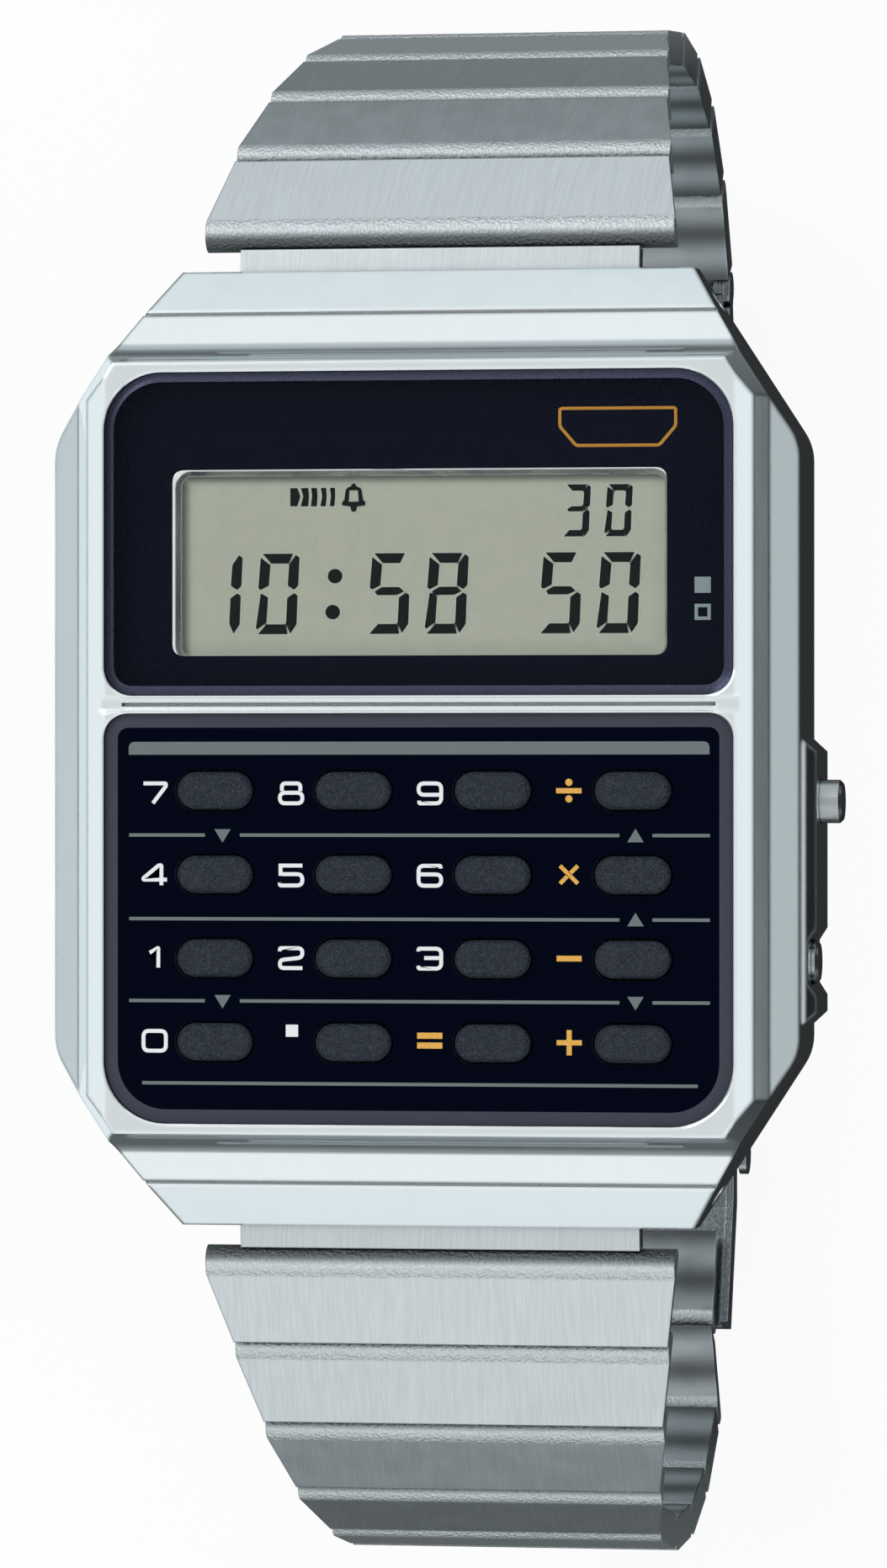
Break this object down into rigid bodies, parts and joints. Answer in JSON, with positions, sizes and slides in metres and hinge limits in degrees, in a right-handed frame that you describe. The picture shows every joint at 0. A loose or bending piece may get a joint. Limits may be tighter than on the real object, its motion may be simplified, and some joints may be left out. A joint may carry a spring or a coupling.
{
  "type": "calculator wristwatch",
  "caption": "Rectangular digital calculator watch with a display window, a keypad, side buttons and a tapered link bracelet closed by a fold-over clasp.",
  "frame": {"origin": "on the table, in the underside of the closed clasp, straight below the middle of the dial", "axes": "+Z out of the dial, +Y towards 12 o'clock, +X towards 3 o'clock and the side buttons"},
  "size_m": [0.0354, 0.0725, 0.0501],
  "materials": {
    "case_plating": "bright silver chrome plating on moulded resin",
    "window_glass": "clear, polished",
    "panel_black": "glossy black",
    "key_plastic": "fine leather grain",
    "keypad_rubber": "matt",
    "lcd_glass": "grey-green display with its reflector",
    "lcd_frame": "silver",
    "seal_rubber": "matt",
    "module_plastic": "moulded",
    "circuit_board": "solder mask",
    "component_black": "moulded",
    "contact_bronze": "bare",
    "battery_steel": "bright",
    "spring_steel": "plain",
    "back_steel": "brushed lengthwise",
    "screw_steel": "plain",
    "button_steel": "turned and polished",
    "bracelet_steel": "brushed lengthwise, grained at the rounded edges",
    "clasp_steel": "brushed lengthwise"
  },
  "bodies": {
    "case": {"case": "case_plating", "display_window": "window_glass", "keypad_panel": "panel_black", "keypad_rubber": "keypad_rubber", "lcd_panel": "lcd_glass", "lcd_frame": "lcd_frame", "zebra_connectors": "seal_rubber", "module_frame": "module_plastic", "circuit_board": "circuit_board", "board_components": "component_black", "button_contacts": "contact_bronze", "battery": "battery_steel", "battery_clamp": "spring_steel", "buzzer": "contact_bronze", "case_back": "back_steel", "back_screws": "screw_steel", "case_seals": "seal_rubber", "spring_bars": "spring_steel"},
    "key_7": {"key_7": "key_plastic"},
    "key_8": {"key_8": "key_plastic"},
    "key_9": {"key_9": "key_plastic"},
    "key_divide": {"key_divide": "key_plastic"},
    "key_4": {"key_4": "key_plastic"},
    "key_5": {"key_5": "key_plastic"},
    "key_6": {"key_6": "key_plastic"},
    "key_times": {"key_times": "key_plastic"},
    "key_1": {"key_1": "key_plastic"},
    "key_2": {"key_2": "key_plastic"},
    "key_3": {"key_3": "key_plastic"},
    "key_minus": {"key_minus": "key_plastic"},
    "key_0": {"key_0": "key_plastic"},
    "key_point": {"key_point": "key_plastic"},
    "key_equals": {"key_equals": "key_plastic"},
    "key_plus": {"key_plus": "key_plastic"},
    "mode_button": {"mode_button": "button_steel"},
    "adjust_button": {"adjust_button": "button_steel"},
    "end_piece_12": {"end_piece_12": "bracelet_steel"},
    "link_12_1": {"link_12_1": "bracelet_steel"},
    "link_12_2": {"link_12_2": "bracelet_steel"},
    "link_12_3": {"link_12_3": "bracelet_steel"},
    "link_12_4": {"link_12_4": "bracelet_steel"},
    "link_12_5": {"link_12_5": "bracelet_steel"},
    "link_12_6": {"link_12_6": "bracelet_steel"},
    "link_12_7": {"link_12_7": "bracelet_steel"},
    "link_12_8": {"link_12_8": "bracelet_steel"},
    "link_12_9": {"link_12_9": "bracelet_steel"},
    "clasp_plate": {"clasp_plate": "clasp_steel"},
    "end_piece_6": {"end_piece_6": "bracelet_steel"},
    "link_6_1": {"link_6_1": "bracelet_steel"},
    "link_6_2": {"link_6_2": "bracelet_steel"},
    "link_6_3": {"link_6_3": "bracelet_steel"},
    "link_6_4": {"link_6_4": "bracelet_steel"},
    "link_6_5": {"link_6_5": "bracelet_steel"},
    "link_6_6": {"link_6_6": "bracelet_steel"},
    "link_6_7": {"link_6_7": "bracelet_steel"},
    "link_6_8": {"link_6_8": "bracelet_steel"},
    "link_6_9": {"link_6_9": "bracelet_steel"},
    "link_6_10": {"link_6_10": "bracelet_steel"},
    "clasp_cover": {"clasp_cover": "clasp_steel"},
    "clasp_lever": {"clasp_lever": "clasp_steel"}
  },
  "joints": [
    {"name": "key_7_press", "type": "slide", "parent": "case", "child": "key_7", "axis": [0, 0, -1], "range_m": [0, 0.0004], "stiffness_N_per_m": 1000, "springref_m": -0.0005},
    {"name": "key_8_press", "type": "slide", "parent": "case", "child": "key_8", "axis": [0, 0, -1], "range_m": [0, 0.0004], "stiffness_N_per_m": 1000, "springref_m": -0.0005},
    {"name": "key_9_press", "type": "slide", "parent": "case", "child": "key_9", "axis": [0, 0, -1], "range_m": [0, 0.0004], "stiffness_N_per_m": 1000, "springref_m": -0.0005},
    {"name": "key_divide_press", "type": "slide", "parent": "case", "child": "key_divide", "axis": [0, 0, -1], "range_m": [0, 0.0004], "stiffness_N_per_m": 1000, "springref_m": -0.0005},
    {"name": "key_4_press", "type": "slide", "parent": "case", "child": "key_4", "axis": [0, 0, -1], "range_m": [0, 0.0004], "stiffness_N_per_m": 1000, "springref_m": -0.0005},
    {"name": "key_5_press", "type": "slide", "parent": "case", "child": "key_5", "axis": [0, 0, -1], "range_m": [0, 0.0004], "stiffness_N_per_m": 1000, "springref_m": -0.0005},
    {"name": "key_6_press", "type": "slide", "parent": "case", "child": "key_6", "axis": [0, 0, -1], "range_m": [0, 0.0004], "stiffness_N_per_m": 1000, "springref_m": -0.0005},
    {"name": "key_times_press", "type": "slide", "parent": "case", "child": "key_times", "axis": [0, 0, -1], "range_m": [0, 0.0004], "stiffness_N_per_m": 1000, "springref_m": -0.0005},
    {"name": "key_1_press", "type": "slide", "parent": "case", "child": "key_1", "axis": [0, 0, -1], "range_m": [0, 0.0004], "stiffness_N_per_m": 1000, "springref_m": -0.0005},
    {"name": "key_2_press", "type": "slide", "parent": "case", "child": "key_2", "axis": [0, 0, -1], "range_m": [0, 0.0004], "stiffness_N_per_m": 1000, "springref_m": -0.0005},
    {"name": "key_3_press", "type": "slide", "parent": "case", "child": "key_3", "axis": [0, 0, -1], "range_m": [0, 0.0004], "stiffness_N_per_m": 1000, "springref_m": -0.0005},
    {"name": "key_minus_press", "type": "slide", "parent": "case", "child": "key_minus", "axis": [0, 0, -1], "range_m": [0, 0.0004], "stiffness_N_per_m": 1000, "springref_m": -0.0005},
    {"name": "key_0_press", "type": "slide", "parent": "case", "child": "key_0", "axis": [0, 0, -1], "range_m": [0, 0.0004], "stiffness_N_per_m": 1000, "springref_m": -0.0005},
    {"name": "key_point_press", "type": "slide", "parent": "case", "child": "key_point", "axis": [0, 0, -1], "range_m": [0, 0.0004], "stiffness_N_per_m": 1000, "springref_m": -0.0005},
    {"name": "key_equals_press", "type": "slide", "parent": "case", "child": "key_equals", "axis": [0, 0, -1], "range_m": [0, 0.0004], "stiffness_N_per_m": 1000, "springref_m": -0.0005},
    {"name": "key_plus_press", "type": "slide", "parent": "case", "child": "key_plus", "axis": [0, 0, -1], "range_m": [0, 0.0004], "stiffness_N_per_m": 1000, "springref_m": -0.0005},
    {"name": "mode_button_press", "type": "slide", "parent": "case", "child": "mode_button", "axis": [-1, 0, 0], "range_m": [0, 0.0006], "stiffness_N_per_m": 1500, "springref_m": -0.0005},
    {"name": "adjust_button_press", "type": "slide", "parent": "case", "child": "adjust_button", "axis": [-1, 0, 0], "range_m": [0, 0.0006], "stiffness_N_per_m": 1500, "springref_m": -0.0005},
    {"name": "end_piece_12_hinge", "type": "hinge", "parent": "case", "child": "end_piece_12", "pos_m": [0, 0.0201, 0.0437], "axis": [1, 0, 0], "range_deg": [0, 8]},
    {"name": "link_12_1_hinge", "type": "hinge", "parent": "end_piece_12", "child": "link_12_1", "pos_m": [0, 0.02335, 0.0434], "axis": [1, 0, 0], "range_deg": [0, 8]},
    {"name": "link_12_2_hinge", "type": "hinge", "parent": "link_12_1", "child": "link_12_2", "pos_m": [0, 0.02696, 0.03966], "axis": [1, 0, 0], "range_deg": [0, 8]},
    {"name": "link_12_3_hinge", "type": "hinge", "parent": "link_12_2", "child": "link_12_3", "pos_m": [0, 0.02979, 0.0353], "axis": [1, 0, 0], "range_deg": [0, 8]},
    {"name": "link_12_4_hinge", "type": "hinge", "parent": "link_12_3", "child": "link_12_4", "pos_m": [0, 0.03191, 0.03055], "axis": [1, 0, 0], "range_deg": [0, 8]},
    {"name": "link_12_5_hinge", "type": "hinge", "parent": "link_12_4", "child": "link_12_5", "pos_m": [0, 0.03325, 0.02552], "axis": [1, 0, 0], "range_deg": [0, 8]},
    {"name": "link_12_6_hinge", "type": "hinge", "parent": "link_12_5", "child": "link_12_6", "pos_m": [0, 0.03362, 0.02034], "axis": [1, 0, 0], "range_deg": [0, 8]},
    {"name": "link_12_7_hinge", "type": "hinge", "parent": "link_12_6", "child": "link_12_7", "pos_m": [0, 0.03289, 0.01519], "axis": [1, 0, 0], "range_deg": [0, 8]},
    {"name": "link_12_8_hinge", "type": "hinge", "parent": "link_12_7", "child": "link_12_8", "pos_m": [0, 0.03095, 0.01037], "axis": [1, 0, 0], "range_deg": [0, 8]},
    {"name": "link_12_9_hinge", "type": "hinge", "parent": "link_12_8", "child": "link_12_9", "pos_m": [0, 0.0276, 0.00638], "axis": [1, 0, 0], "range_deg": [0, 8]},
    {"name": "clasp_plate_hinge", "type": "hinge", "parent": "link_12_9", "child": "clasp_plate", "pos_m": [0, 0.02319, 0.00363], "axis": [1, 0, 0], "range_deg": [0, 8]},
    {"name": "end_piece_6_hinge", "type": "hinge", "parent": "case", "child": "end_piece_6", "pos_m": [0, -0.0201, 0.0437], "axis": [1, 0, 0], "range_deg": [0, 8]},
    {"name": "link_6_1_hinge", "type": "hinge", "parent": "end_piece_6", "child": "link_6_1", "pos_m": [0, -0.02335, 0.0434], "axis": [1, 0, 0], "range_deg": [0, 8]},
    {"name": "link_6_2_hinge", "type": "hinge", "parent": "link_6_1", "child": "link_6_2", "pos_m": [0, -0.02733, 0.04006], "axis": [1, 0, 0], "range_deg": [0, 8]},
    {"name": "link_6_3_hinge", "type": "hinge", "parent": "link_6_2", "child": "link_6_3", "pos_m": [0, -0.0312, 0.03658], "axis": [1, 0, 0], "range_deg": [0, 8]},
    {"name": "link_6_4_hinge", "type": "hinge", "parent": "link_6_3", "child": "link_6_4", "pos_m": [0, -0.03433, 0.03243], "axis": [1, 0, 0], "range_deg": [0, 8]},
    {"name": "link_6_5_hinge", "type": "hinge", "parent": "link_6_4", "child": "link_6_5", "pos_m": [0, -0.03644, 0.02768], "axis": [1, 0, 0], "range_deg": [0, 8]},
    {"name": "link_6_6_hinge", "type": "hinge", "parent": "link_6_5", "child": "link_6_6", "pos_m": [0, -0.03735, 0.02255], "axis": [1, 0, 0], "range_deg": [0, 8]},
    {"name": "link_6_7_hinge", "type": "hinge", "parent": "link_6_6", "child": "link_6_7", "pos_m": [0, -0.03707, 0.01736], "axis": [1, 0, 0], "range_deg": [0, 8]},
    {"name": "link_6_8_hinge", "type": "hinge", "parent": "link_6_7", "child": "link_6_8", "pos_m": [0, -0.03547, 0.01242], "axis": [1, 0, 0], "range_deg": [0, 8]},
    {"name": "link_6_9_hinge", "type": "hinge", "parent": "link_6_8", "child": "link_6_9", "pos_m": [0, -0.03248, 0.00816], "axis": [1, 0, 0], "range_deg": [0, 8]},
    {"name": "link_6_10_hinge", "type": "hinge", "parent": "link_6_9", "child": "link_6_10", "pos_m": [0, -0.02822, 0.00517], "axis": [1, 0, 0], "range_deg": [0, 8]},
    {"name": "clasp_cover_hinge", "type": "hinge", "parent": "clasp_plate", "child": "clasp_cover", "pos_m": [0, -0.0202, 0.00185], "axis": [-1, 0, 0], "range_deg": [0, 90]},
    {"name": "clasp_lever_hinge", "type": "hinge", "parent": "clasp_cover", "child": "clasp_lever", "pos_m": [0, 0.0139, 0.00075], "axis": [-1, 0, 0], "range_deg": [0, 75]}
  ]
}
